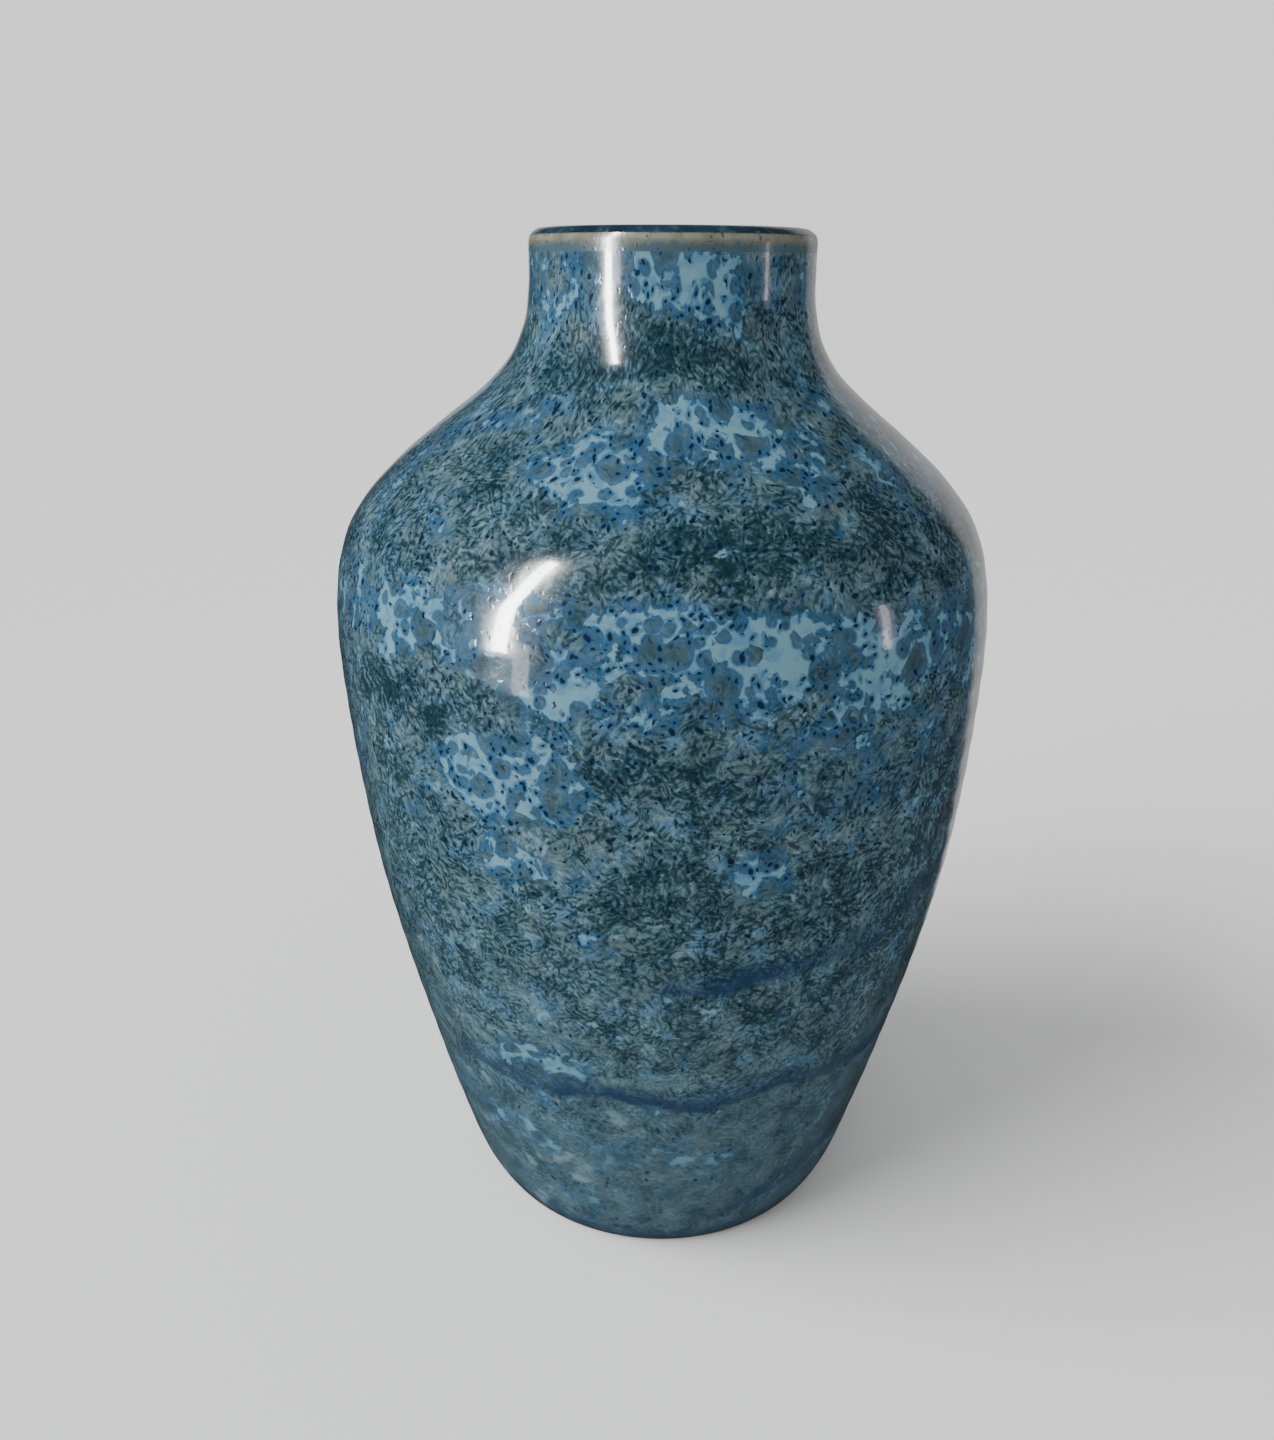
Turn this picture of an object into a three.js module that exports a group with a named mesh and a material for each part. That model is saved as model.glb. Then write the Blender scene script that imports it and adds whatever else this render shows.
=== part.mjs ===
// A stoneware vase: a fired clay body, the foot ring that it stands on, and the three glaze coats fused to
// it. Millimetres, +Z up. The origin is on the turning axis, in the plane that the foot ring stands on.
//
// Every piece is turned about +Z. One chain of points runs over the glazed surface: up the outside, over the
// lip, down the inside and across the floor. A second chain lies one glaze thickness below it and is the
// surface of the clay. Each coat fills the space between the two along its own stretch, less a hair's
// breadth, so that coat and clay, and one coat and the next, meet face to face.

import * as THREE from 'three';

// Driving dimensions
const HEIGHT = 250;
const BELLY_RADIUS = 79.4;
const BELLY_HEIGHT = 152;
const NECK_RADIUS = 32.3;
const NECK_TOP = 244.8;
const BASE_RADIUS = 53.6;
const BASE_EDGE_ROUND = 3.4;
const WALL = 5;
const GLAZE = 0.7;
const GLAZE_TO_CLAY_GAP = 0.02;

// The floor inside: a shallow dish, and the rounded corner that the wall rises from
const FLOOR_TOP = 12;
const FLOOR_DISH = 1.2;
const FLOOR_RADIUS = 40;
const CORNER_RADIUS = 52;
const CORNER_TOP = 20;

// The foot ring's bearing face, and the shallow recess inside it
const FOOT_MIN_HEIGHT = 4;
const FOOT_INNER_RADIUS = 42;
const FOOT_BEARING_RADIUS = 49.6;
const FOOT_CHAMFER = 1.2;
const FOOT_CHAMFER_RISE = 0.5;

// The lip: rounded outside and, more tightly, inside
const LIP_ROUND_OUT = 3.2;
const LIP_ROUND_IN = 2.1;
const NECK_WALL = LIP_ROUND_OUT + LIP_ROUND_IN;
const LIP_BAND_TOP_ANGLE = 28 * (Math.PI / 180);

// The glaze stops short of the foot's bearing face, part of the way round the base's edge
const GLAZE_LINE_ANGLE = -50 * (Math.PI / 180);

// Facets round the axis, and steps along the curves
const SIDES = 40;
const OUTSIDE_STEPS_PER_STATION = 2;
const INSIDE_STEPS_PER_STATION = 1;
const ROUND_STEPS = 3;

// Where the outside passes, from the base's edge to the top of the neck, as [radius, height]
const OUTSIDE_STATIONS = [
  [BASE_RADIUS, BASE_EDGE_ROUND],
  [55.3, 6.8],
  [59.9, 24],
  [66.0, 50],
  [75.7, 100],
  [BELLY_RADIUS, BELLY_HEIGHT],
  [77.9, 174],
  [73.4, 187.5],
  [62.5, 200],
  [47.0, 212.5],
  [40.0, 218.6],
  [35.4, 225],
  [32.7, 234],
  [NECK_RADIUS, NECK_TOP],
];

// The colours are sRGB. Fired clay is dull; the coats are glassy.
const FINISHES = {
  clay: { color: 0x9c8d7a, roughness: 0.85, metalness: 0 },
  foot: { color: 0x8a7a68, roughness: 0.9, metalness: 0 },
  blueGlaze: { color: 0x41688a, roughness: 0.18, metalness: 0 },
  lipGlaze: { color: 0x94907c, roughness: 0.22, metalness: 0 },
  linerGlaze: { color: 0x2f4858, roughness: 0.2, metalness: 0 },
};

/** Points on a circle's arc in the turning plane, both ends included. */
function arc(centreR, centreZ, radius, fromAngle, toAngle, steps) {
  const points = [];
  for (let step = 0; step <= steps; step += 1) {
    const angle = THREE.MathUtils.lerp(fromAngle, toAngle, step / steps);
    points.push(new THREE.Vector2(centreR + radius * Math.cos(angle), centreZ + radius * Math.sin(angle)));
  }
  return points;
}

/** The outside's smooth curve, from the base's edge to the top of the neck. */
function outsideCurve() {
  const stations = OUTSIDE_STATIONS.map(([r, z]) => new THREE.Vector3(r, z, 0));
  return new THREE.CatmullRomCurve3(stations, false, 'centripetal');
}

/** Points along the outside's curve, moved square to it towards the axis by a distance for each height. */
function alongOutside(stepsPerStation, insetAt) {
  const curve = outsideCurve();
  const count = (OUTSIDE_STATIONS.length - 1) * stepsPerStation;
  const points = [];
  for (let step = 0; step <= count; step += 1) {
    const point = curve.getPoint(step / count);
    const tangent = curve.getTangent(step / count);
    const inset = insetAt(point.y);
    points.push(new THREE.Vector2(point.x - tangent.y * inset, point.y + tangent.x * inset));
  }
  return points;
}

/** The wall's thickness at a height, both coats included: even up the body, a little thicker at the lip. */
function wallAt(z) {
  const [, neckRootZ] = OUTSIDE_STATIONS[OUTSIDE_STATIONS.length - 3];
  return THREE.MathUtils.lerp(WALL, NECK_WALL, THREE.MathUtils.smoothstep(z, BELLY_HEIGHT, neckRootZ));
}

/** A chain's points moved square to it by a depth, into the clay. The last point stays on the axis. */
function beneath(chain, depth) {
  const lastIndex = chain.length - 1;
  return chain.map((point, index) => {
    if (index === lastIndex) {
      return new THREE.Vector2(0, point.y - depth);
    }
    const before = chain[Math.max(index - 1, 0)];
    const along = chain[index + 1].clone().sub(before).normalize();
    return point.clone().addScaledVector(new THREE.Vector2(-along.y, along.x), depth);
  });
}

/** A named solid turned about +Z from a closed outline, which runs up its outer side and down its inner. */
function turned(name, outline, finish) {
  const geometry = new THREE.LatheGeometry(outline, SIDES);
  geometry.rotateX(Math.PI / 2);
  const mesh = new THREE.Mesh(geometry, new THREE.MeshStandardMaterial(finish));
  mesh.name = name;
  return mesh;
}

/** A coat: the space between the glazed surface and the clay, along one stretch of the surface. */
function coat(name, surface, from, to, finish) {
  const face = surface.slice(from, to + 1);
  const back = beneath(surface, GLAZE - GLAZE_TO_CLAY_GAP).slice(from, to + 1).reverse();
  const reachesAxis = face[face.length - 1].x === 0;
  return turned(name, reachesAxis ? [...back, ...face] : [...face, ...back, face[0]], finish);
}

// The chain over the glazed surface
const edgeCentreR = BASE_RADIUS - BASE_EDGE_ROUND;
const baseEdge = arc(edgeCentreR, BASE_EDGE_ROUND, BASE_EDGE_ROUND, GLAZE_LINE_ANGLE, 0, ROUND_STEPS);
const outside = alongOutside(OUTSIDE_STEPS_PER_STATION, () => 0);

const crownR = NECK_RADIUS - LIP_ROUND_OUT;
const roundOutZ = HEIGHT - LIP_ROUND_OUT;
const roundInZ = HEIGHT - LIP_ROUND_IN;
const lipBand = arc(crownR, roundOutZ, LIP_ROUND_OUT, 0, LIP_BAND_TOP_ANGLE, 2);
const lipCrown = arc(crownR, roundOutZ, LIP_ROUND_OUT, LIP_BAND_TOP_ANGLE, Math.PI / 2, ROUND_STEPS);
const lipInner = arc(crownR, roundInZ, LIP_ROUND_IN, Math.PI / 2, Math.PI, ROUND_STEPS);

// Down the inside, as far as the floor's rounded corner, then across the dished floor to the axis
const inside = alongOutside(INSIDE_STEPS_PER_STATION, wallAt)
  .reverse()
  .filter((point) => point.y > CORNER_TOP);
const corner = new THREE.QuadraticBezierCurve(
  inside[inside.length - 1],
  new THREE.Vector2(CORNER_RADIUS, FLOOR_TOP),
  new THREE.Vector2(FLOOR_RADIUS, FLOOR_TOP),
);
const floorCorner = corner.getPoints(ROUND_STEPS + 1).slice(1);
const floorCentre = new THREE.Vector2(0, FLOOR_TOP - FLOOR_DISH);

const surface = [];
const marks = {};
for (const [mark, points] of [
  ['glazeLine', baseEdge.slice(0, -1)],
  ['outside', outside],
  ['lipBand', lipBand],
  ['lipCrown', lipCrown.slice(1)],
  ['lipInner', lipInner.slice(1)],
  ['inside', inside],
  ['floor', [...floorCorner, floorCentre]],
]) {
  marks[mark] = surface.length;
  surface.push(...points);
}
const clay = beneath(surface, GLAZE);

// The ring and the body meet in the plane of the clay's first point that leaves the foot enough height
const jointIndex = clay.findIndex((point) => point.y >= FOOT_MIN_HEIGHT);
const footHeight = clay[jointIndex].y;

const lastIndex = surface.length - 1;
const lipBandBottom = marks.outside + outside.length - 1;
const lipBandTop = marks.lipCrown - 1;

const body = turned(
  'stoneware_body',
  [new THREE.Vector2(0, footHeight), ...clay.slice(jointIndex)],
  FINISHES.clay,
);

const footRing = turned(
  'foot_ring',
  [
    new THREE.Vector2(FOOT_INNER_RADIUS, 0),
    new THREE.Vector2(FOOT_BEARING_RADIUS, 0),
    new THREE.Vector2(FOOT_BEARING_RADIUS + FOOT_CHAMFER, FOOT_CHAMFER_RISE),
    ...clay.slice(0, jointIndex + 1),
    new THREE.Vector2(FOOT_INNER_RADIUS - FOOT_CHAMFER, footHeight),
    new THREE.Vector2(FOOT_INNER_RADIUS - FOOT_CHAMFER, FOOT_CHAMFER),
    new THREE.Vector2(FOOT_INNER_RADIUS, 0),
  ],
  FINISHES.foot,
);

const vase = new THREE.Group();
vase.add(
  body,
  footRing,
  coat('outer_glaze', surface, marks.glazeLine, lipBandBottom, FINISHES.blueGlaze),
  coat('lip_glaze', surface, lipBandBottom, lipBandTop, FINISHES.lipGlaze),
  coat('liner_glaze', surface, lipBandTop, lastIndex, FINISHES.linerGlaze),
);

export default vase;
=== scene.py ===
"""A glazed stoneware vase: its clay, its foot ring and its fused glaze coats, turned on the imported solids."""

from __future__ import annotations

import logging
import math
from dataclasses import dataclass, field
from enum import Enum
from typing import Callable, Union

import bmesh
import bpy
from mathutils import Matrix, Vector, noise


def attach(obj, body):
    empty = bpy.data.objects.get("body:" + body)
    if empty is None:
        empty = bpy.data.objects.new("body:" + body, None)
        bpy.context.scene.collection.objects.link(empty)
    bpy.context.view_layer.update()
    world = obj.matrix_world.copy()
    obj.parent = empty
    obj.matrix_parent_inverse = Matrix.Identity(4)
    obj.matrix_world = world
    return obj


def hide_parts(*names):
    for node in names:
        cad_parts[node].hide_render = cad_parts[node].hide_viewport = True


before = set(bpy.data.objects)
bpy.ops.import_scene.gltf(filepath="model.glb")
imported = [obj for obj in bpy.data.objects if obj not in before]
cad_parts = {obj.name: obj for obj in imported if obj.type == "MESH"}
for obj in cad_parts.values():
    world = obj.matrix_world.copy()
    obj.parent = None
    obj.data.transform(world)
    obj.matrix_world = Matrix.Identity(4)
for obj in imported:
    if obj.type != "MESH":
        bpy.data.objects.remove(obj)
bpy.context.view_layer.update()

log = logging.getLogger("vase")

MM = 0.001
ROOT_BODY = "root"
SAME_PLACE = 0.002 * MM

Colour = tuple[float, float, float]
Span = tuple[float, float]
Value = Union["Wire", float, Colour]
Relief = Callable[[Vector], Vector]


# Shader maths


class Wire:
    """One socket's value in a node tree. Arithmetic on it adds the nodes that work it out."""

    def __init__(self, tree: Tree, socket: bpy.types.NodeSocket) -> None:
        """Wrap a socket of a tree."""
        self.tree = tree
        self.socket = socket

    @property
    def is_vector(self) -> bool:
        """Whether the value is a vector or a colour."""
        return self.socket.type in ("VECTOR", "RGBA")

    def _maths(self, operation: str, first: Value, second: Value) -> Wire:
        """Join two values, by Vector Math when either is a vector, and by Math when both are numbers."""
        vectors = any(isinstance(value, Wire) and value.is_vector for value in (first, second))
        join = self.tree.vector if vectors else self.tree.number
        return join(operation, first, second)

    def __add__(self, other: Value) -> Wire:
        """Sum."""
        return self._maths("ADD", self, other)

    def __radd__(self, other: Value) -> Wire:
        """Sum, with this value on the right."""
        return self._maths("ADD", other, self)

    def __sub__(self, other: Value) -> Wire:
        """Difference."""
        return self._maths("SUBTRACT", self, other)

    def __rsub__(self, other: Value) -> Wire:
        """Difference, with this value on the right."""
        return self._maths("SUBTRACT", other, self)

    def __mul__(self, other: Value) -> Wire:
        """Product."""
        return self._maths("MULTIPLY", self, other)

    def __rmul__(self, other: Value) -> Wire:
        """Product, with this value on the right."""
        return self._maths("MULTIPLY", other, self)

    def __truediv__(self, other: Value) -> Wire:
        """Quotient."""
        return self._maths("DIVIDE", self, other)


class Tree:
    """A material's or a world's node tree, and the ways in which finishes add nodes to it."""

    def __init__(self, owner: bpy.types.Material | bpy.types.World) -> None:
        """Take over a node tree and empty it.

        Args:
            owner: the material or the world that the tree belongs to.
        """
        owner.use_nodes = True
        self.owner = owner
        self.nodes = owner.node_tree.nodes
        self.links = owner.node_tree.links
        self.nodes.clear()

    def add(self, kind: str, settings: dict | None = None, inputs: dict | None = None) -> bpy.types.Node:
        """Add one node.

        Args:
            kind: the node's type, such as "ShaderNodeTexNoise".
            settings: the node's own settings, set before its sockets. "stops" fills a colour ramp.
            inputs: values or wires for its sockets, by name or number.

        Returns:
            The new node.
        """
        node = self.nodes.new(kind)
        for key, value in (settings or {}).items():
            if key == "stops":
                ramp = node.color_ramp
                while len(ramp.elements) < len(value):
                    ramp.elements.new(1.0)
                for element, (position, colour) in zip(ramp.elements, value):
                    element.position = position
                    element.color = colour
            else:
                setattr(node, key, value)
        for key, value in (inputs or {}).items():
            if isinstance(value, Wire):
                self.links.new(value.socket, node.inputs[key])
            else:
                node.inputs[key].default_value = value
        return node

    def wire(self, node: bpy.types.Node, output: str | int = 0) -> Wire:
        """Wrap one output of a node."""
        return Wire(self, node.outputs[output])

    def number(self, operation: str, *operands: Value) -> Wire:
        """Math on numbers."""
        return self.wire(self.add("ShaderNodeMath", {"operation": operation}, dict(enumerate(operands))))

    def vector(self, operation: str, *operands: Value) -> Wire:
        """Vector Math. A plain number stands for a vector with three equal parts.

        Args:
            operation: the node's operation, such as "CROSS_PRODUCT".
            *operands: wires, numbers or triples.

        Returns:
            The vector, or the number that a dot product or a length gives.
        """
        spread = [(value,) * 3 if isinstance(value, (int, float)) else value for value in operands]
        node = self.add("ShaderNodeVectorMath", {"operation": operation}, dict(enumerate(spread)))
        return self.wire(node, "Value" if operation in ("DOT_PRODUCT", "LENGTH") else "Vector")

    def mix(self, factor: Value, first: Value, second: Value) -> Wire:
        """Blend two colours.

        Args:
            factor: how much of the second there is, from 0 to 1.
            first: a wire, or a colour in linear light.
            second: a wire, or a colour in linear light.

        Returns:
            The blended colour.
        """
        solid = [value if isinstance(value, Wire) else (*value, 1.0) for value in (first, second)]
        inputs = {0: factor, 6: solid[0], 7: solid[1]}
        return self.wire(self.add("ShaderNodeMix", {"data_type": "RGBA", "clamp_factor": True}, inputs), 2)

    def ramp(self, value: Wire, stops: tuple[tuple[float, Colour], ...]) -> Wire:
        """The colour that a ramp gives a value, from its stops' places and colours."""
        solid = [(place, (*colour, 1.0)) for place, colour in stops]
        return self.wire(self.add("ShaderNodeValToRGB", {"stops": solid}, {"Fac": value}))

    def step(self, value: Value, low: Value, high: Value) -> Wire:
        """A smooth rise from 0 at low to 1 at high; low above high gives a fall."""
        settings = {"interpolation_type": "SMOOTHSTEP", "clamp": True}
        inputs = {"Value": value, "From Min": low, "From Max": high}
        return self.wire(self.add("ShaderNodeMapRange", settings, inputs))

    def noise(self, place: Wire, scale: float, detail: float = 2.0, roughness: float = 0.5) -> Wire:
        """Smooth noise, about 0.5 on average."""
        inputs = {"Vector": place, "Scale": scale, "Detail": detail, "Roughness": roughness}
        return self.wire(self.add("ShaderNodeTexNoise", {"noise_dimensions": "3D"}, inputs), "Fac")

    def parts(self, value: Wire) -> tuple[Wire, Wire, Wire]:
        """The three parts of a vector or a colour."""
        node = self.add("ShaderNodeSeparateXYZ", None, {0: value})
        return tuple(self.wire(node, index) for index in range(3))

    def join(self, x: Value, y: Value, z: Value) -> Wire:
        """A vector from three numbers."""
        return self.wire(self.add("ShaderNodeCombineXYZ", None, {0: x, 1: y, 2: z}))

    def finish(self, surface: Wire) -> bpy.types.Material:
        """Join a material's surface to its output and hand the material over."""
        self.add("ShaderNodeOutputMaterial", None, {"Surface": surface})
        return self.owner


def show(name: str, data: bpy.types.ID) -> bpy.types.Object:
    """A new object with the given data, in the scene."""
    shown = bpy.data.objects.new(name, data)
    bpy.context.scene.collection.objects.link(shown)
    return shown


def aimed_from(azimuth: float, elevation: float = 0.0) -> Vector:
    """The direction from the vase to a place round it.

    Args:
        azimuth: the place's direction, in degrees, 0 at the front and growing to the right.
        elevation: how high it stands, in degrees.

    Returns:
        A vector of length 1.
    """
    level = math.cos(math.radians(elevation))
    turn = math.radians(azimuth)
    return Vector((level * math.sin(turn), -level * math.cos(turn), math.sin(math.radians(elevation))))


def linear(red: int, green: int, blue: int) -> Colour:
    """A colour in linear light from its everyday 0 to 255 parts."""
    parts = (value / 255.0 for value in (red, green, blue))
    return tuple(part / 12.92 if part <= 0.04045 else ((part + 0.055) / 1.055) ** 2.4 for part in parts)


# Turning


class Ending(Enum):
    """How a piece's outline ends."""

    CLOSED = "closes on itself"
    AXIS = "starts and ends on the turning axis"


@dataclass
class Outline:
    """A piece's outline in the turning plane, read from its CAD solid: up its outer side, down its inner.

    Attributes:
        node: the CAD node's name.
        points: the outline's points, at their radius along X and their height along Z, in metres.
        ending: how the outline ends.
    """

    node: str
    points: list[Vector] = field(default_factory=list)
    ending: Ending = Ending.CLOSED

    def read(self) -> Outline:
        """Walk the solid's edges that lie in the half plane of +X.

        Returns:
            This outline, filled in.
        """
        work = bmesh.new()
        work.from_mesh(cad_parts[self.node].data)
        bmesh.ops.remove_doubles(work, verts=work.verts, dist=SAME_PLACE)
        in_plane = {v for v in work.verts if abs(v.co.y) < SAME_PLACE and v.co.x > -SAME_PLACE}
        steps = {v: [e.other_vert(v) for e in v.link_edges if e.other_vert(v) in in_plane] for v in in_plane}
        ends = [v for v in in_plane if len(steps[v]) == 1]
        self.ending = Ending.AXIS if ends else Ending.CLOSED
        here = start = min(ends or in_plane, key=lambda v: (round(v.co.z, 4), -v.co.x))
        walked = [start]
        seen = {start}
        while onward := [v for v in steps[here] if v not in seen]:
            here = max(onward, key=lambda v: (v.co.x, v.co.z)) if here is start else onward[0]
            walked.append(here)
            seen.add(here)
        self.points = [Vector((max(v.co.x, 0.0), 0.0, v.co.z)) for v in walked]
        work.free()
        if self.ending is Ending.CLOSED and self._area() < 0.0:
            self.points = [self.points[0], *reversed(self.points[1:])]
        return self

    def _area(self) -> float:
        """The outline's signed area, positive when it is walked the usual way round."""
        following = self.points[1:] + self.points[:1]
        return sum(here.x * after.z - after.x * here.z for here, after in zip(self.points, following)) / 2

    def halves(self) -> tuple[list[Vector], list[Vector]]:
        """The two equal chains of a coat's outline, in the order in which they are walked."""
        middle = len(self.points) // 2
        return self.points[:middle], self.points[middle:]


def smoothed(chain: list[Vector], spacing: float, passes: int) -> list[Vector]:
    """A chain made fine and fair: a spline through its points, then averaged with its neighbours.

    Args:
        chain: the points, whose ends stay put.
        spacing: the distance between the fine points, in metres.
        passes: how many times each point is averaged with its two neighbours.

    Returns:
        The fine points.
    """
    fine = []
    for index, (here, after) in enumerate(zip(chain, chain[1:])):
        before = chain[max(index - 1, 0)]
        beyond = chain[min(index + 2, len(chain) - 1)]
        length = (after - here).length
        out = (after - before).normalized() * length
        into = (beyond - here).normalized() * length
        count = max(round(length / spacing), 1)
        for step in range(count):
            t = step / count
            fine.append(
                here * (2 * t**3 - 3 * t**2 + 1)
                + out * (t**3 - 2 * t**2 + t)
                + after * (-2 * t**3 + 3 * t**2)
                + into * (t**3 - t**2)
            )
    fine.append(chain[-1].copy())
    for _ in range(passes):
        inner = [(a + b * 2 + c) / 4 for a, b, c in zip(fine, fine[1:], fine[2:])]
        fine = [fine[0], *inner, fine[-1]]
    for point in fine:
        point.x = max(point.x, 0.0)
    return fine


@dataclass(frozen=True)
class Hand:
    """What the hand leaves on a turned pot, the same for every piece, so that coats and clay keep together.

    Attributes:
        top: the vase's height, in metres.
        out_of_round: how far the wall leans out or in, in metres.
        ring_depth: the height of the throwing rings, in metres.
        ring_pitch: the distance between them, in metres.
        drift: the size of the slow, uneven swell of the wall, in metres.
        drift_reach: the distance over which that swell comes and goes, in metres.
        sway: how far the belly sits to the left of the neck and the foot, in metres.
        sway_at: the middle and the half width of the sway, as shares of the height.
        fullness: how much fuller the shoulder is on the left, in metres.
        fullness_at: the middle and the half width of the fullness, as shares of the height.
        neck_lean: how far the neck sits to the right, in metres.
        neck_at: where the lean starts and the rise over which it grows, as shares of the height.
        core: the radius inside which nothing moves, in metres.
        ease: the radius from which everything moves in full, in metres.
        foot_ease: how fast the unevenness grows up from the foot.
        lip_ease: how fast it shrinks towards the lip.
        lip_least: what is left of it at the lip.
    """

    top: float = 250 * MM
    out_of_round: float = 0.35 * MM
    ring_depth: float = 0.05 * MM
    ring_pitch: float = 8.5 * MM
    drift: float = 0.22 * MM
    drift_reach: float = 34 * MM
    sway: float = 0.7 * MM
    sway_at: Span = (0.66, 0.22)
    fullness: float = 1.1 * MM
    fullness_at: Span = (0.72, 0.13)
    neck_lean: float = 0.5 * MM
    neck_at: Span = (0.82, 0.1)
    core: float = 4 * MM
    ease: float = 20 * MM
    foot_ease: float = 8.0
    lip_ease: float = 12.0
    lip_least: float = 0.25

    @staticmethod
    def bell(value: float, place: Span) -> float:
        """A smooth bump of 1 over the middle of a place, given with its half width."""
        middle, width = place
        return math.exp(-(((value - middle) / width) ** 2))

    def move(self, point: Vector) -> Vector:
        """Where a point of the true turned shape ends up."""
        radius = math.hypot(point.x, point.y)
        if radius < self.core:
            return point
        angle = math.atan2(point.y, point.x)
        up = point.z / self.top
        level = min(1.0, up * self.foot_ease) * min(1.0, (1.0 - up) * self.lip_ease + self.lip_least)
        lean = self.out_of_round * math.sin(2 * angle + 0.8 + 2.1 * up) * level
        rings = self.ring_depth * math.sin(2 * math.pi * point.z / self.ring_pitch + angle) * level
        swell = self.drift * noise.noise(point / self.drift_reach) * level
        leftward = (0.5 - 0.5 * math.cos(angle)) * (0.65 + 0.35 * math.cos(angle) ** 2)
        full = self.fullness * self.bell(up, self.fullness_at) * leftward
        share = min(radius / self.ease, 1.0)
        scale = 1.0 + (lean + rings + swell + full) * share / radius
        start, rise = self.neck_at
        aside = self.neck_lean * min(max((up - start) / rise, 0.0), 1.0)
        aside -= self.sway * self.bell(up, self.sway_at) * level
        return Vector((point.x * scale + aside, point.y * scale, point.z))


@dataclass
class Turned:
    """A mesh turned from a chain of points.

    Attributes:
        name: the piece's name.
        chain: the outline's points in the turning plane.
        closed: whether the last point joins the first.
        sides: steps round the axis.
        crease: the sharpest turn between two faces that still looks smooth, in radians.
        hand: the unevenness that the piece shares with the others.
    """

    name: str
    chain: list[Vector]
    closed: bool
    sides: int = 180
    crease: float = math.radians(38)
    hand: Hand = Hand()

    def build(self, relief: Relief | None = None) -> bpy.types.Object:
        """Spin the chain, weld it, and set its faces and its creases.

        Args:
            relief: gives the place that a point moves to, for marks of this piece's own.

        Returns:
            The finished object, at the origin.
        """
        work = bmesh.new()
        points = [work.verts.new(point) for point in self.chain]
        pairs = list(zip(points, points[1:])) + ([(points[-1], points[0])] if self.closed else [])
        edges = [work.edges.new(pair) for pair in pairs]
        bmesh.ops.spin(
            work, geom=points + edges, cent=(0, 0, 0), axis=(0, 0, 1), dvec=(0, 0, 0),
            angle=2 * math.pi, steps=self.sides, use_merge=True, use_normal_flip=False, use_duplicate=False,
        )
        bmesh.ops.remove_doubles(work, verts=work.verts, dist=SAME_PLACE)
        bmesh.ops.recalc_face_normals(work, faces=work.faces)
        for vert in work.verts:
            vert.co = self.hand.move(relief(vert.co) if relief else vert.co)
        for face in work.faces:
            face.smooth = True
        for edge in work.edges:
            if len(edge.link_faces) == 2 and edge.calc_face_angle() > self.crease:
                edge.smooth = False
        mesh = bpy.data.meshes.new(self.name)
        work.to_mesh(mesh)
        work.free()
        return show(self.name, mesh)


def place_piece(piece: bpy.types.Object, node: str, finish: bpy.types.Material) -> None:
    """Dress a piece, and say what it stands for.

    Args:
        piece: the piece.
        node: the CAD node that it replaces.
        finish: its material.
    """
    piece.data.materials.append(finish)
    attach(piece, ROOT_BODY)
    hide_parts(node)
    log.info("%s: %d faces for %s", piece.name, len(piece.data.polygons), node)


# Finishes. Lengths in a finish are in millimetres, and a noise's scale is one over the size of its clouds.


@dataclass(frozen=True)
class Patch:
    """A place where the crystals stayed away and the pale glaze shows.

    Attributes:
        azimuth: the direction from the axis, in degrees, 0 at the front and growing to the right.
        height: its height.
        reach: its half width round the vase.
        rise: its half height.
        strength: how clear it is, about 1; below 0 it is a dark, crowded place instead.
    """

    azimuth: float
    height: float
    reach: float
    rise: float
    strength: float


@dataclass(frozen=True)
class Band:
    """A soft dark band across the front, low on the body.

    Attributes:
        lower: the height of its sharper, lower edge.
        depth: how far up from there it fades out.
        bend: how fast it drops away from its middle, per millimetre.
        middle: how far to the right it is highest.
        strength: how dark it is, from 0 to 1.
        start: how far to the right it starts.
        full: how far to the right it has its full strength.
    """

    lower: float
    depth: float
    bend: float
    middle: float
    strength: float
    start: float
    full: float


@dataclass(frozen=True)
class Needles:
    """How needle crystals are scattered.

    Attributes:
        size: the usual distance between bundles, or between single needles.
        length: the usual length of a needle.
        width: the usual width of a needle.
        seed: shifts the scatter.
    """

    size: float
    length: float
    width: float
    seed: float


@dataclass(frozen=True)
class Gloss:
    """How a surface catches the light.

    Attributes:
        bump: the strength of its relief.
        depth: the depth of its relief.
        coat: the share of a second, sharper reflection.
        coat_blur: how rough that reflection is.
        ior: the index of refraction.
    """

    bump: float
    depth: float
    coat: float = 0.0
    coat_blur: float = 0.04
    ior: float = 1.5


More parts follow.
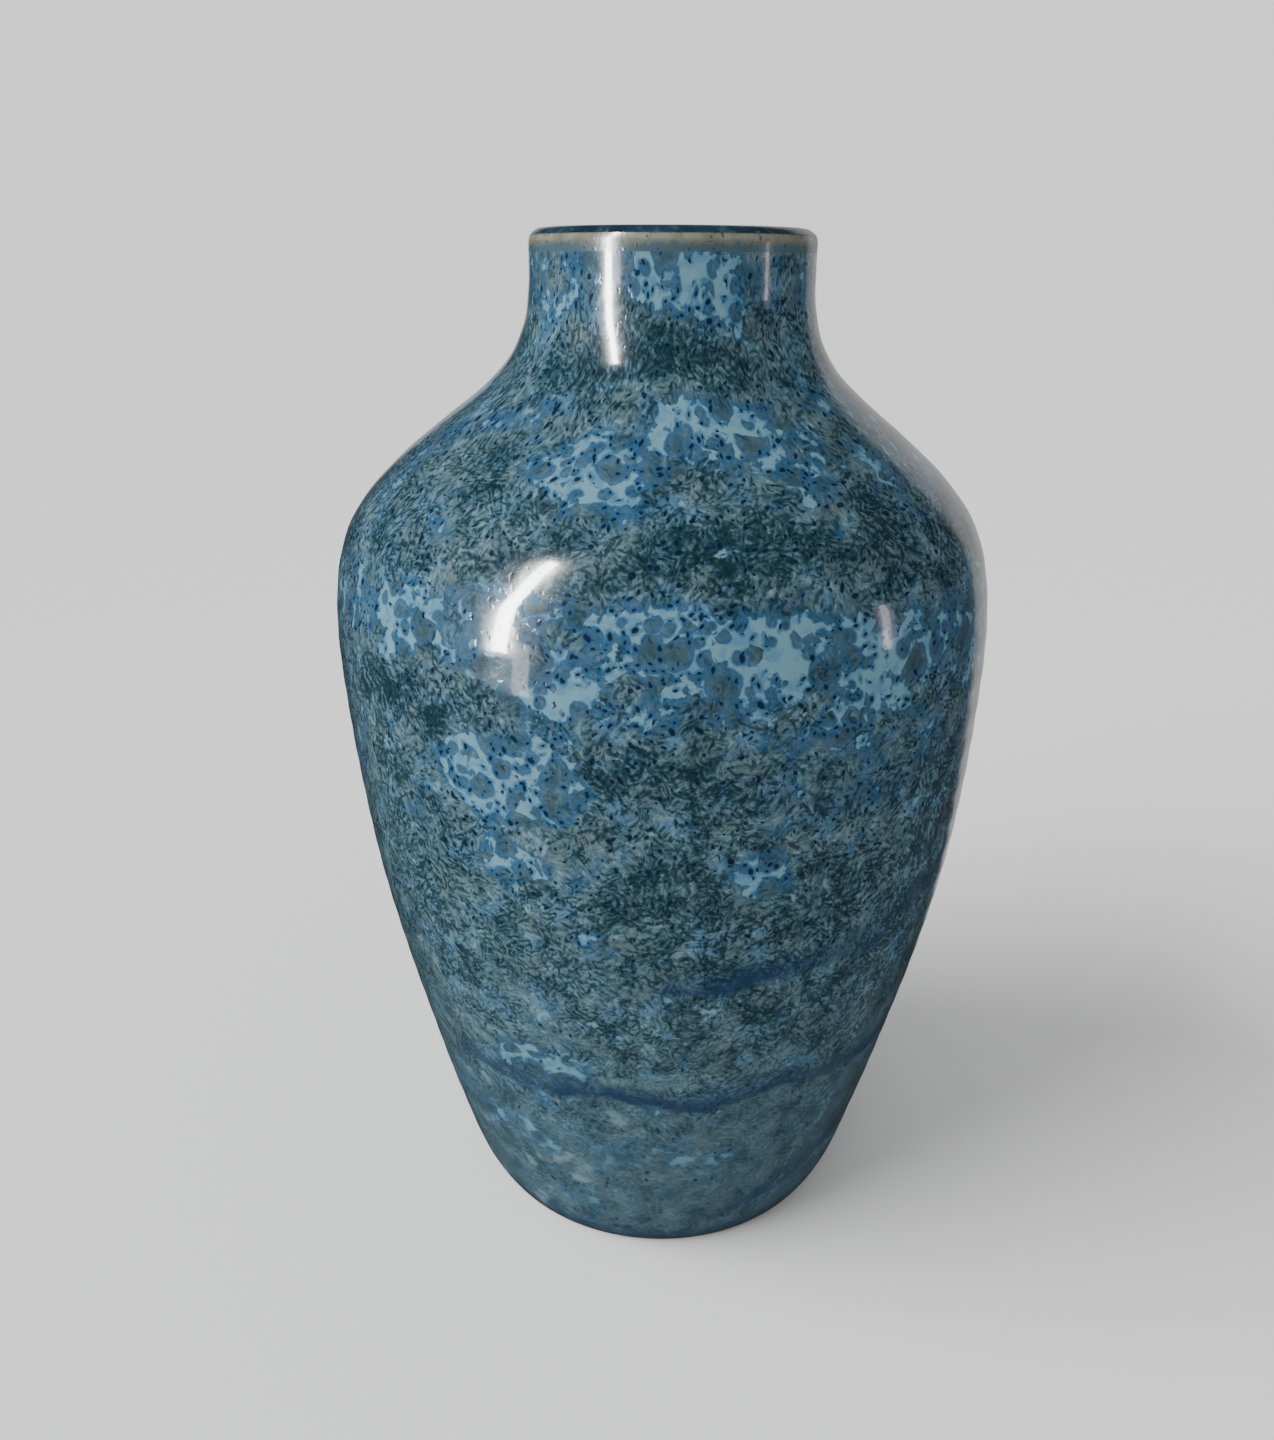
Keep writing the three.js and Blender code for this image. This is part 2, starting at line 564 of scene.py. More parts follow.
class GlazeTree(Tree):
    """A tree with the marks that crystals leave in a glaze."""

    def __init__(self, name: str) -> None:
        """Start a material whose patterns lie on the surface."""
        super().__init__(bpy.data.materials.new(name))
        coordinates = self.add("ShaderNodeTexCoord")
        inputs = {"Vector": self.wire(coordinates, "Object"), "Scale": (1.0 / MM,) * 3}
        self.point = self.wire(self.add("ShaderNodeMapping", {"vector_type": "POINT"}, inputs))
        self.normal = self.wire(coordinates, "Normal")

    def wander(self, point: Wire, size: float, reach: float) -> Wire:
        """A point pushed about by up to half a reach, in swirls of about a size."""
        stir = self.add("ShaderNodeTexNoise", None, {"Vector": point, "Scale": 1.0 / size, "Detail": 1.0})
        return point + (self.wire(stir, "Color") - 0.5) * (reach * 2.0)

    def cells(self, point: Wire, size: float, seed: float) -> tuple[Wire, Wire]:
        """Scattered cell centres.

        Args:
            point: where the pattern is read.
            size: the usual distance between centres.
            seed: shifts the scatter.

        Returns:
            The way from the cell's centre to the point, laid flat on the surface, and the cell's own
            random vector.
        """
        spot = point * (1.0 / size) + (seed, seed * 1.7, seed * 0.6)
        settings = {"voronoi_dimensions": "3D", "feature": "F1", "distance": "EUCLIDEAN"}
        cell = self.add("ShaderNodeTexVoronoi", settings, {"Vector": spot, "Scale": 1.0, "Randomness": 1.0})
        away = (spot - self.wire(cell, "Position")) * size
        flat = away - self.normal * self.vector("DOT_PRODUCT", away, self.normal)
        return flat, self.wire(cell, "Color")

    def across(self, flat: Wire, chance: Wire, along: float, aside: float) -> tuple[Wire, Wire]:
        """A flat way measured along two square directions on the surface, turned at random.

        Args:
            flat: the way from a cell's centre.
            chance: the cell's random vector.
            along: the scale of the first measure.
            aside: the scale of the second measure.

        Returns:
            The two measures.
        """
        first = self.vector("NORMALIZE", self.vector("CROSS_PRODUCT", self.normal, chance - 0.5))
        second = self.vector("CROSS_PRODUCT", self.normal, first)
        run = self.vector("DOT_PRODUCT", flat, first) * along
        return run, self.vector("DOT_PRODUCT", flat, second) * aside

    def sheaf(self, point: Wire, needles: Needles) -> Wire:
        """Bundles of parallel needles, each bundle with a direction of its own, as a value of about 0.5."""
        flat, chance = self.cells(point, needles.size, needles.seed)
        run, off = self.across(flat, chance, 1.0 / needles.length, 1.0 / needles.width)
        shift, _, _ = self.parts(chance)
        return self.noise(self.join(run, off, shift * 40.0), 1.0, 1.0)

    def strokes(self, point: Wire, needles: Needles) -> Wire:
        """Single needles, one to a cell, as a mask with soft edges."""
        flat, chance = self.cells(point, needles.size, needles.seed)
        run, off = self.across(flat, chance, 2.0 / needles.length, 2.0 / needles.width)
        grow, _, _ = self.parts(chance)
        edge = grow + 0.7
        return self.step(run * run + off * off, edge, edge * 0.1)

    def specks(self, point: Wire, size: float, radius: float, share: Value, seed: float) -> tuple[Wire, Wire]:
        """Small oval crystals in some of the cells.

        Args:
            point: where the pattern is read.
            size: the usual distance between specks.
            radius: the usual radius of a speck.
            share: the share of the cells that hold one.
            seed: shifts the scatter.

        Returns:
            The specks' mask, and the mask of the ring of colour round each.
        """
        flat, chance = self.cells(point, size, seed)
        run, off = self.across(flat, chance, 0.75, 1.2)
        keep, grow, _ = self.parts(chance)
        reach = (grow * 0.7 + 0.5) * radius
        gap = reach - self.number("SQRT", run * run + off * off)
        here = self.step(share - keep, -0.01, 0.01)
        return self.step(gap, -0.12, 0.14) * here, self.step(gap, -0.9, -0.2) * here

    def rosettes(
        self, point: Wire, size: float, growth: float, bare: float, seed: float,
    ) -> tuple[Wire, Wire]:
        """Round crystals that grow from scattered seeds.

        Args:
            point: where the pattern is read.
            size: the usual distance between seeds.
            growth: how far they have grown: at about 1 they touch.
            bare: the share of the seeds that never grew.
            seed: shifts the scatter.

        Returns:
            The distance in from a crystal's edge, below 0 outside it, and the darkness of its spokes.
        """
        flat, chance = self.cells(point, size, seed)
        grow, shift, keep = self.parts(chance)
        away = self.vector("LENGTH", flat)
        grown = self.step(keep - bare, -0.01, 0.01)
        reach = (grow * 0.55 + 0.45) * (size * 0.72 * growth) * grown - (1.0 - grown) * size
        fan = self.vector("NORMALIZE", flat) * 2.6 + flat * 0.22
        fan = fan + self.join(shift * 30.0, grow * 30.0, shift)
        spokes = self.step(self.noise(fan, 1.0, 1.0), 0.46, 0.64)
        return reach - away, spokes * self.step(away, size * 0.475, 0.2) * grown

    def surface(self, colour: Wire, rough: Wire, relief: Wire, gloss: Gloss) -> bpy.types.Material:
        """Join a glossy surface to the output.

        Args:
            colour: its colour.
            rough: its roughness.
            relief: the height of its fine relief, from 0 to 1.
            gloss: how it catches the light.

        Returns:
            The material.
        """
        inputs = {"Strength": gloss.bump, "Distance": gloss.depth * MM, "Height": relief}
        bump = self.add("ShaderNodeBump", None, inputs)
        shader = self.add("ShaderNodeBsdfPrincipled", None, {
            "Base Color": colour, "Roughness": rough, "Normal": self.wire(bump), "IOR": gloss.ior,
            "Coat Weight": gloss.coat, "Coat Roughness": gloss.coat_blur,
        })
        return self.finish(self.wire(shader))


@dataclass(frozen=True)
class CrystallineGlaze:
    """The outer coat: pale windows of clear glaze between blue crystals, felted with dark needles.

    Attributes:
        patches: the open and the crowded places.
        radius_at: gives the vase's radius at a height.
        belts: heights, and how closely the crystals crowd there.
        belt_drift: how far the belts wander up and down.
        patch_edge: where a patch starts and is in full, as shares of its size.
        patch_pull: how far a patch changes the crowding.
        least_crowd: the crowding in the clearest places.
        bare_level: the part of the ragged noise that stays clear where the crystals crowd.
        bare_gain: how much more of it stays clear in the open.
        edge_slope: the distance into a crystal for each step of that noise.
        bands: the soft dark bands low on the body.
        height: the vase's height.
        flow_from: the height above which the glaze ran down the neck.
        finer_rise: the heights over which the pattern becomes finer, up the neck.
        soft_fall: the heights over which the pattern becomes soft and hazy, down the body.
        speck_rise: the heights over which the specks become many.
        painted_light_fall: the heights over which pale clouds of painted light appear, down the body.
        painted_light_left: how far to the right those clouds of painted light start and are in full, on the lit
            left side.
        thin_rise: the heights over which the glaze thins towards the lip.
    """

    patches: tuple[Patch, ...]
    radius_at: Callable[[float], float]

    window: Colour = linear(103, 142, 156)
    halo: Colour = linear(38, 80, 116)
    bloom: Colour = linear(42, 72, 88)
    needle: Colour = linear(22, 47, 54)
    dusk: Colour = linear(46, 72, 82)
    felt: Colour = linear(75, 101, 112)
    fleck: Colour = linear(100, 130, 142)
    frost_and_painted_light: Colour = linear(132, 158, 166)
    olive: Colour = linear(82, 94, 90)
    azure: Colour = linear(66, 110, 144)
    ink: Colour = linear(12, 36, 42)
    speck: Colour = linear(8, 26, 42)
    navy: Colour = linear(24, 50, 78)
    haze: Colour = linear(57, 82, 95)
    tan: Colour = linear(84, 100, 104)
    gloss: Gloss = Gloss(bump=0.28, depth=0.12, coat=0.5)
    height: float = 250.0
    flow_from: float = 226.0
    finer_rise: Span = (205.0, 230.0)
    soft_fall: Span = (105.0, 15.0)
    speck_rise: Span = (90.0, 150.0)
    painted_light_fall: Span = (120.0, 30.0)
    painted_light_left: Span = (20.0, -30.0)
    thin_rise: Span = (243.4, 245.4)
    coarse_felt: Needles = Needles(size=5.2, length=3.8, width=0.85, seed=1.9)
    fine_felt: Needles = Needles(size=2.6, length=2.2, width=0.55, seed=5.3)
    short_ink: Needles = Needles(size=2.3, length=2.8, width=0.80, seed=8.8)
    long_ink: Needles = Needles(size=3.4, length=4.2, width=0.9, seed=4.1)
    belt_drift: float = 26.0
    patch_edge: Span = (1.3, 0.3)
    patch_pull: float = 0.34
    least_crowd: float = 0.16
    bare_level: float = 0.33
    bare_gain: float = 0.27
    edge_slope: float = 12.0
    belts: tuple[Span, ...] = (
        (0, 0.72), (25, 0.70), (60, 0.74), (98, 0.84), (130, 0.78), (152, 0.72), (163, 0.60), (176, 0.50),
        (184, 0.66), (191, 0.90), (197, 0.72), (205, 0.52), (213, 0.56), (219, 0.70), (226, 0.84),
        (232, 0.66), (238, 0.52), (250, 0.60),
    )
    bands: tuple[Band, ...] = (
        Band(lower=93, depth=13, bend=0.0022, middle=-10, strength=1.0, start=-12, full=12),
        Band(lower=59, depth=11, bend=-0.0012, middle=4, strength=1.0, start=-58, full=-36),
        Band(lower=10, depth=12, bend=0.0060, middle=0, strength=0.7, start=4, full=22),
        Band(lower=140, depth=14, bend=0.0010, middle=30, strength=0.5, start=8, full=30),
    )

    def crowding(self, tree: GlazeTree) -> Wire:
        """How closely the crystals crowd, from 0, open glaze, to 1, felt."""
        _, _, z = tree.parts(tree.point)
        drift = (tree.noise(tree.point, 1 / 34, 2.0) - 0.5) * self.belt_drift
        stops = tuple((level / self.height, (grey, grey, grey)) for level, grey in self.belts)
        crowd, _, _ = tree.parts(tree.ramp((z + drift) * (1 / self.height), stops))
        crowd = crowd + (tree.noise(tree.point, 1 / 15, 2.0) - 0.5) * 0.9
        crowd = crowd + (tree.noise(tree.point + 9.0, 1 / 5, 2.0) - 0.5) * 0.7
        for patch in self.patches:
            centre = aimed_from(patch.azimuth) * self.radius_at(patch.height) + Vector((0, 0, patch.height))
            squeeze = (1 / patch.reach, 1 / patch.reach, 1 / patch.rise)
            gap = tree.vector("LENGTH", (tree.point - tuple(centre)) * squeeze)
            crowd = crowd - tree.step(gap, *self.patch_edge) * (self.patch_pull * patch.strength)
        return tree.number("MAXIMUM", crowd, self.least_crowd)

    def felted(self, tree: GlazeTree, point: Wire, crowd: Wire, soft: Wire) -> Wire:
        """The colour where needles lie over each other.

        Args:
            tree: the material's tree.
            point: where the pattern is read.
            crowd: how closely the crystals crowd.
            soft: how far the marks are blurred, from 0 to 1.

        Returns:
            The colour.
        """
        coarse = tree.sheaf(point, self.coarse_felt)
        fine = tree.sheaf(point, self.fine_felt)
        grain = tree.noise(point, 1 / 1.1, 2.0)
        clump = tree.noise(tree.point + 5.0, 1 / 6.5, 3.0)
        tone = coarse * 0.40 + fine * 0.34 + grain * 0.26
        tone = (tone - 0.5) * (1.0 - soft * 0.55) * 1.15 + 0.5
        tone = tone + (clump - 0.5) * 0.40 - (crowd - 0.66) * 0.24 + 0.012
        stops = (
            (0.32, self.needle), (0.42, self.dusk), (0.52, self.felt), (0.65, self.fleck), (0.80, self.frost_and_painted_light),
        )
        colour = tree.ramp(tone, stops)
        tint = tree.noise(tree.point + 31.0, 1 / 7, 3.0)
        lift = tree.step(tone, 0.40, 0.56)
        colour = tree.mix(tree.step(tint, 0.50, 0.66) * lift * 0.55, colour, self.olive)
        return tree.mix(tree.step(tint, 0.46, 0.34) * lift * 0.6, colour, self.azure)

    def bloomed(self, tree: GlazeTree, point: Wire, depth: Wire, large: Wire, spokes: Wire) -> Wire:
        """The colour of a single crystal: blue, with dark spokes, a dark heart and smudges.

        Args:
            tree: the material's tree.
            point: where the pattern is read.
            depth: the distance in from the edge of what the crystals cover.
            large: the distance in from the edge of the large round crystals.
            spokes: the darkness of the crystals' spokes.

        Returns:
            The colour.
        """
        colour = tree.mix(tree.noise(tree.point, 1 / 2.2, 2.0), self.halo, self.bloom)
        heart = tree.step(large, 0.3, 2.6) * 0.85
        colour = tree.mix(tree.number("MAXIMUM", spokes * 0.75, heart), colour, self.needle)
        smudge = tree.step(tree.noise(point + 3.0, 1 / 1.9, 3.0), 0.47, 0.64)
        return tree.mix(smudge * tree.step(depth, 0.2, 1.5) * 0.75, colour, self.needle)

    def speckled(self, tree: GlazeTree, point: Wire, z: Wire, dense: Wire, colour: Wire) -> tuple[Wire, Wire]:
        """The colour with dark specks in blue rings, in loose clusters from the belly up.

        Args:
            tree: the material's tree.
            point: where the pattern is read.
            z: the height.
            dense: where the felt is, from 0 to 1, which hides the rings.
            colour: the colour without specks.

        Returns:
            The colour, and the mask of the smaller specks.
        """
        clumps = tree.noise(tree.point + 61.0, 1 / 8, 2.0)
        share = tree.step(clumps, 0.34, 0.64) * tree.step(z, *self.speck_rise) * 0.62 + 0.06
        small, small_rings = tree.specks(point, size=2.4, radius=0.40, share=share, seed=2.2)
        large, large_rings = tree.specks(point, size=4.1, radius=0.58, share=share, seed=9.6)
        rings = tree.number("MAXIMUM", small_rings, large_rings)
        colour = tree.mix(rings * (0.65 - dense * 0.5), colour, self.halo)
        return tree.mix(tree.number("MAXIMUM", small, large) * 0.92, colour, self.speck), small

    def dark_bands(self, tree: GlazeTree, x: Wire, y: Wire, z: Wire) -> Wire:
        """The mask of the soft dark bands, each with a sharper lower edge, fading out along its length, and of
        a darkening towards the bottom.

        Args:
            tree: the material's tree.
            x: how far to the right the point is.
            y: how far to the back the point is.
            z: the point's height.

        Returns:
            The mask.
        """
        waver = (tree.noise(tree.point, 1 / 22, 2.0) - 0.5) * 16.0
        wisps = tree.step(tree.noise(tree.point + 77.0, 1 / 13, 3.0), 0.34, 0.60)
        front = tree.step(y, 10.0, -25.0)
        total: Value = 0.0
        for band in self.bands:
            aside = x - band.middle
            level = z - aside * aside * band.bend + waver - band.lower
            mask = tree.step(level, 0.0, 3.0) * tree.step(level, band.depth, 3.0)
            mask = mask * tree.step(x, band.start, band.full) * band.strength
            total = tree.number("MAXIMUM", total, mask)
        # Darker towards the bottom.
        edge = tree.step(z + waver * 0.15, 10.0, 2.0)
        return tree.number("MAXIMUM", total * (wisps * 0.5 + 0.5) * front * 0.9, edge * 0.6)

    def material(self) -> bpy.types.Material:
        """The coat's material."""
        tree = GlazeTree("crystalline_blue_glaze")
        x, y, z = tree.parts(tree.point)
        run = tree.number("MAXIMUM", z - self.flow_from, 0.0)
        finer = tree.step(z, *self.finer_rise) * 0.35 + 1.0
        flowed = tree.join(x * finer, y * finer, z - run * 0.15)
        point = tree.wander(tree.wander(flowed, size=8.0, reach=1.4), size=1.1, reach=0.26)
        crowd = self.crowding(tree)
        cloud = tree.noise(tree.point, 1 / 11, 3.0)
        soft = tree.step(z + (cloud - 0.5) * 50.0, *self.soft_fall)

        opened = tree.step(crowd, 0.70, 0.30)
        dense = tree.step(crowd, 0.50, 0.70)
        large, large_spokes = tree.rosettes(point, size=6.6, growth=0.92, bare=0.45, seed=3.1)
        small, small_spokes = tree.rosettes(point, size=3.4, growth=0.90, bare=0.62, seed=12.3)
        ragged = tree.noise(point + 21.0, 1 / 5.5, 4.0, 0.62)
        depth = (ragged - self.bare_level - opened * self.bare_gain) * self.edge_slope
        depth = tree.number("MAXIMUM", depth, tree.number("MAXIMUM", large, small))
        covered = tree.step(depth / (soft * 0.9 + 0.34), -1.0, 1.0)

        spokes = tree.number("MAXIMUM", large_spokes, small_spokes)
        bloom = self.bloomed(tree, point, depth, large, spokes)
        crystal = tree.mix(dense * 0.7 + 0.3, bloom, self.felted(tree, point, crowd, soft))
        rim = tree.step(depth, 1.1, 0.1) * (1.0 - dense * 0.8)
        crystal = tree.mix(rim * 0.65, crystal, self.halo)
        clusters = tree.step(tree.noise(tree.point + 17.0, 1 / 6, 2.0) + crowd * 0.30, 0.60, 0.78)
        strokes = [tree.strokes(point, needles) for needles in (self.short_ink, self.long_ink)]
        ink = tree.number("MAXIMUM", *strokes) * clusters
        crystal = tree.mix(ink * (0.75 - soft * 0.5), crystal, self.ink)
        streaks = tree.step(tree.noise(tree.point, 1 / 3.5, 3.0), 0.44, 0.68)
        colour = tree.mix(covered, tree.mix(streaks * 0.6, self.window, self.azure), crystal)
        colour, marks = self.speckled(tree, point, z, dense, colour)

        colour = tree.mix(soft * 0.35, colour, self.haze)
        # Painted light: pale clouds on the lower left, the side that the window lights.
        painted_light_clouds = tree.step(tree.noise(tree.point + 43.0, 1 / 9, 3.0), 0.54, 0.72)
        lit_lower_left = tree.step(z, *self.painted_light_fall) * tree.step(x, *self.painted_light_left)
        colour = tree.mix(painted_light_clouds * lit_lower_left * 0.6, colour, self.frost_and_painted_light)
        colour = tree.mix(self.dark_bands(tree, x, y, z), colour, self.navy)
        thin = tree.step(z + (tree.noise(tree.point, 0.35, 2.0) - 0.5) * 2.0, *self.thin_rise)
        colour = tree.mix(thin * 0.4, colour, self.tan)

        rough = covered * 0.06 + 0.09 + soft * 0.12
        ripple = tree.noise(tree.point, 0.16, 1.0) * 3.0
        relief = (1.0 - covered) * 0.5 - marks * 0.25 + ripple
        return tree.surface(colour, rough, relief, self.gloss)


@dataclass(frozen=True)
class BrokenGlaze:
    """The lip's coat, pulled thin and tan over the corner, and dark again where it turns inwards, as a painted
    dark reflection along the crown.

    Attributes:
        bronze_fall: the heights over which the tan turns bronze, downwards.
        slate_fall: the heights over which it turns blue, downwards.
        shade_rise: the heights over which it turns dark, upwards, as a painted dark reflection.
    """

    tan: Colour = linear(124, 127, 117)
    bronze: Colour = linear(98, 92, 76)
    slate: Colour = linear(60, 84, 96)
    shade: Colour = linear(40, 56, 64)
    speck: Colour = linear(46, 52, 54)
    gloss: Gloss = Gloss(bump=0.2, depth=0.1, coat=0.3, coat_blur=0.06)
    bronze_fall: Span = (247.4, 246.6)
    slate_fall: Span = (247.0, 245.7)
    shade_rise: Span = (247.9, 248.5)

    def material(self) -> bpy.types.Material:
        """The coat's material."""
        tree = GlazeTree("tan_lip_glaze")
        _, _, z = tree.parts(tree.point)
        cloud = tree.noise(tree.point, 1 / 7, 3.0)
        runs = tree.noise(tree.point * (1.0, 1.0, 0.25), 1.1, 2.0)
        colour = tree.mix(tree.step(cloud, 0.4, 0.66), self.tan, self.bronze)
        colour = tree.mix(tree.step(runs, 0.5, 0.7) * 0.4, colour, self.slate)
        colour = tree.mix(tree.step(z + (cloud - 0.5) * 1.2, *self.bronze_fall) * 0.6, colour, self.bronze)
        colour = tree.mix(tree.step(z + (runs - 0.5) * 2.4, *self.slate_fall) * 0.92, colour, self.slate)
        # Painted dark reflection along the crown, where the lip turns inwards.
        colour = tree.mix(tree.step(z + (runs - 0.5) * 0.4, *self.shade_rise) * 0.92, colour, self.shade)
        specks, _ = tree.specks(tree.point, size=2.2, radius=0.32, share=0.5, seed=4.4)
        colour = tree.mix(specks * 0.7, colour, self.speck)
        return tree.surface(colour, cloud * 0.2 + 0.12, runs + specks, self.gloss)


@dataclass(frozen=True)
class LinerGlaze:
    """The inner coat: dark slate blue, cloudy, with paler runs under the lip.

    Attributes:
        run_rise: the heights over which the paler runs appear.
        crown_reflection_rise: the heights over which it darkens towards the lip's crown, as a painted dark
            reflection.
    """

    slate: Colour = linear(44, 66, 80)
    deep: Colour = linear(22, 38, 52)
    pale: Colour = linear(92, 122, 134)
    gloss: Gloss = Gloss(bump=0.2, depth=0.12, coat=0.3, coat_blur=0.06)
    run_rise: Span = (190.0, 240.0)
    crown_reflection_rise: Span = (247.5, 249.0)

    def material(self) -> bpy.types.Material:
        """The coat's material."""
        tree = GlazeTree("slate_liner_glaze")
        _, _, z = tree.parts(tree.point)
        cloud = tree.noise(tree.point, 1 / 12, 4.0)
        runs = tree.noise(tree.point * (1.0, 1.0, 0.14), 0.45, 3.0)
        colour = tree.mix(tree.step(cloud, 0.38, 0.62), self.slate, self.deep)
        colour = tree.mix(tree.step(runs, 0.52, 0.7) * tree.step(z, *self.run_rise) * 0.5, colour, self.pale)
        # Painted dark reflection towards the lip's crown.
        colour = tree.mix(tree.step(z, *self.crown_reflection_rise) * 0.6, colour, self.deep)
        specks, _ = tree.specks(tree.point, size=3.0, radius=0.4, share=0.6, seed=6.1)
        colour = tree.mix(specks * 0.6, colour, self.deep)
        return tree.surface(colour, cloud * 0.2 + 0.1, cloud + runs, self.gloss)


@dataclass(frozen=True)
class BareClay:
    """Fired stoneware with no glaze: grey buff, toasted in places, with iron specks and open grog."""

    name: str
    buff: Colour = linear(164, 148, 128)
    toast: Colour = linear(140, 106, 78)
    iron: Colour = linear(62, 46, 38)
    sand: Colour = linear(192, 182, 164)
    gloss: Gloss = Gloss(bump=0.5, depth=0.15, ior=1.45)

    def material(self) -> bpy.types.Material:
        """The clay's material."""
        tree = GlazeTree(self.name)
        cloud = tree.noise(tree.point, 1 / 18, 3.0)
        grain = tree.noise(tree.point, 1.6, 4.0, 0.7)
        colour = tree.mix(tree.step(cloud, 0.42, 0.66) * 0.8, self.buff, self.toast)
        colour = tree.mix(tree.step(grain, 0.55, 0.75) * 0.5, colour, self.sand)
        iron, _ = tree.specks(tree.point, size=2.6, radius=0.3, share=0.35, seed=3.3)
        colour = tree.mix(iron * 0.8, colour, self.iron)
        pits, _ = tree.specks(tree.point, size=1.9, radius=0.22, share=0.5, seed=11.0)
        return tree.surface(colour, grain * 0.2 + 0.72, grain - pits, self.gloss)


# The vase's pieces


@dataclass
class Clay:
    """The fired clay: the hollow body and the ring that it stands on. Lengths are in metres.

    Attributes:
        body_spacing: the distance between the body's rows of faces.
        body_passes: how much the body's outline is evened out.
        base_spacing: the distance between the rows of the flat base.
        ring_spacing: the distance between the foot ring's rows of faces.
        turning_pitch: the distance between the turns of the trimming tool's spiral.
        turning_depth: the depth of that spiral.
        recess_radius: the radius of the recess that the spiral lies in.
        turning_fade: the distances from the middle and from the recess's edge over which it fades.
        skin: how far above the base a point may lie and still be on it.
        base_height: the height of the base in the recess, found when the body is built.
    """

    body_spacing: float = 2.2 * MM
    body_passes: int = 2
    base_spacing: float = 0.6 * MM
    ring_spacing: float = 0.5 * MM
    turning_pitch: float = 2.4 * MM
    turning_depth: float = 0.06 * MM
    recess_radius: float = 40 * MM
    turning_fade: Span = (6 * MM, 3 * MM)
    skin: float = 0.3 * MM
    base_height: float = 0.0

    def trimmed(self, point: Vector) -> Vector:
        """A point moved by the shallow spiral that the trimming tool leaves in the recess under the base."""
        radius = math.hypot(point.x, point.y)
        under = point.z < self.base_height + self.skin and radius < self.recess_radius
        if not under:
            return point
        turn = 2 * math.pi * radius / self.turning_pitch - math.atan2(point.y, point.x)
        inner, outer = self.turning_fade
        fade = min(radius / inner, 1.0, (self.recess_radius - radius) / outer)
        return point + Vector((0, 0, self.turning_depth * (math.sin(turn) + 1.0) * fade))

    def build(self) -> None:
        """Make both pieces."""
        chain = Outline("stoneware_body").read().points
        self.base_height = chain[0].z
        base = smoothed(chain[:2], self.base_spacing, 0)
        wall = smoothed(chain[1:], self.body_spacing, self.body_passes)
        body = Turned("vase_body", base[:-1] + wall, closed=False, sides=144).build(self.trimmed)
        place_piece(body, "stoneware_body", BareClay("fired_clay").material())

        chain = Outline("foot_ring").read().points
        fine = smoothed([*chain, chain[0]], self.ring_spacing, 1)[:-1]
        ring = Turned("turned_foot", fine, closed=True).build()
        place_piece(ring, "foot_ring", BareClay("bare_foot").material())


@dataclass
class Coats:
    """The three fused glaze coats. Spacings are in metres.

    Attributes:
        outer_spacing: the distance between the outer coat's rows of faces.
        lip_spacing: the distance between the lip coat's rows.
        liner_spacing: the distance between the liner's rows.
        face: the outer coat's outer side, found when it is built.
        patches: where the outer coat is open and pale, and where it is crowded and dark.
    """

    outer_spacing: float = 1.25 * MM
    lip_spacing: float = 0.4 * MM
    liner_spacing: float = 2.0 * MM
    face: list[Vector] = field(default_factory=list)
    patches: tuple[Patch, ...] = (
        Patch(6, 239, 12, 8, 1.3), Patch(-19, 205, 17, 6, 1.4), Patch(12, 211, 15, 7, 1.2),
        Patch(-2, 179, 12, 7, 0.7), Patch(12, 174, 18, 10, 0.9), Patch(31, 172, 14, 8, 0.7),
        Patch(-13, 168, 9, 7, 0.9), Patch(-42, 177, 9, 9, 1.1), Patch(-22, 147, 17, 10, 3.2),
        Patch(-29, 152, 7, 6, 1.4), Patch(-23, 128, 9, 6, 1.6), Patch(15, 127, 8, 7, 1.6),
        Patch(-8, 111, 7, 5, 1.5), Patch(-25, 70, 14, 7, 1.2), Patch(-30, 40, 14, 7, 1.0),
        Patch(5, 193, 26, 6, -1.3), Patch(-40, 161, 24, 8, -1.4), Patch(0, 152, 22, 8, -0.9),
        Patch(-34, 204, 18, 10, -1.2), Patch(8, 112, 26, 14, -0.7), Patch(-2, 226, 14, 5, -0.9),
        Patch(-34, 224, 12, 8, -1.0),
    )

    def radius_at(self, height: float) -> float:
        """The outer coat's radius at a height, both in millimetres."""
        return min(self.face, key=lambda point: abs(point.z / MM - height)).x / MM

    def build(self) -> None:
        """Make the three pieces."""
        self.face, back = Outline("outer_glaze").read().halves()
        chain = smoothed(self.face, self.outer_spacing, 6) + smoothed(back, self.outer_spacing, 6)
        outer = Turned("blue_coat", chain, closed=True).build()
        finish = CrystallineGlaze(self.patches, self.radius_at).material()
        place_piece(outer, "outer_glaze", finish)

        face, back = Outline("lip_glaze").read().halves()
        chain = smoothed(face, self.lip_spacing, 1) + smoothed(back, self.lip_spacing, 1)
        lip = Turned("lip_coat", chain, closed=True).build()
        place_piece(lip, "lip_glaze", BrokenGlaze().material())

        back, face = Outline("liner_glaze").read().halves()
        chain = smoothed(back, self.liner_spacing, 2) + smoothed(face, self.liner_spacing, 2)
        liner = Turned("liner_coat", chain, closed=False, sides=144).build()
        place_piece(liner, "liner_glaze", LinerGlaze().material())


# The studio. Lengths are in metres, and an azimuth is 0 at the front and grows to the right.


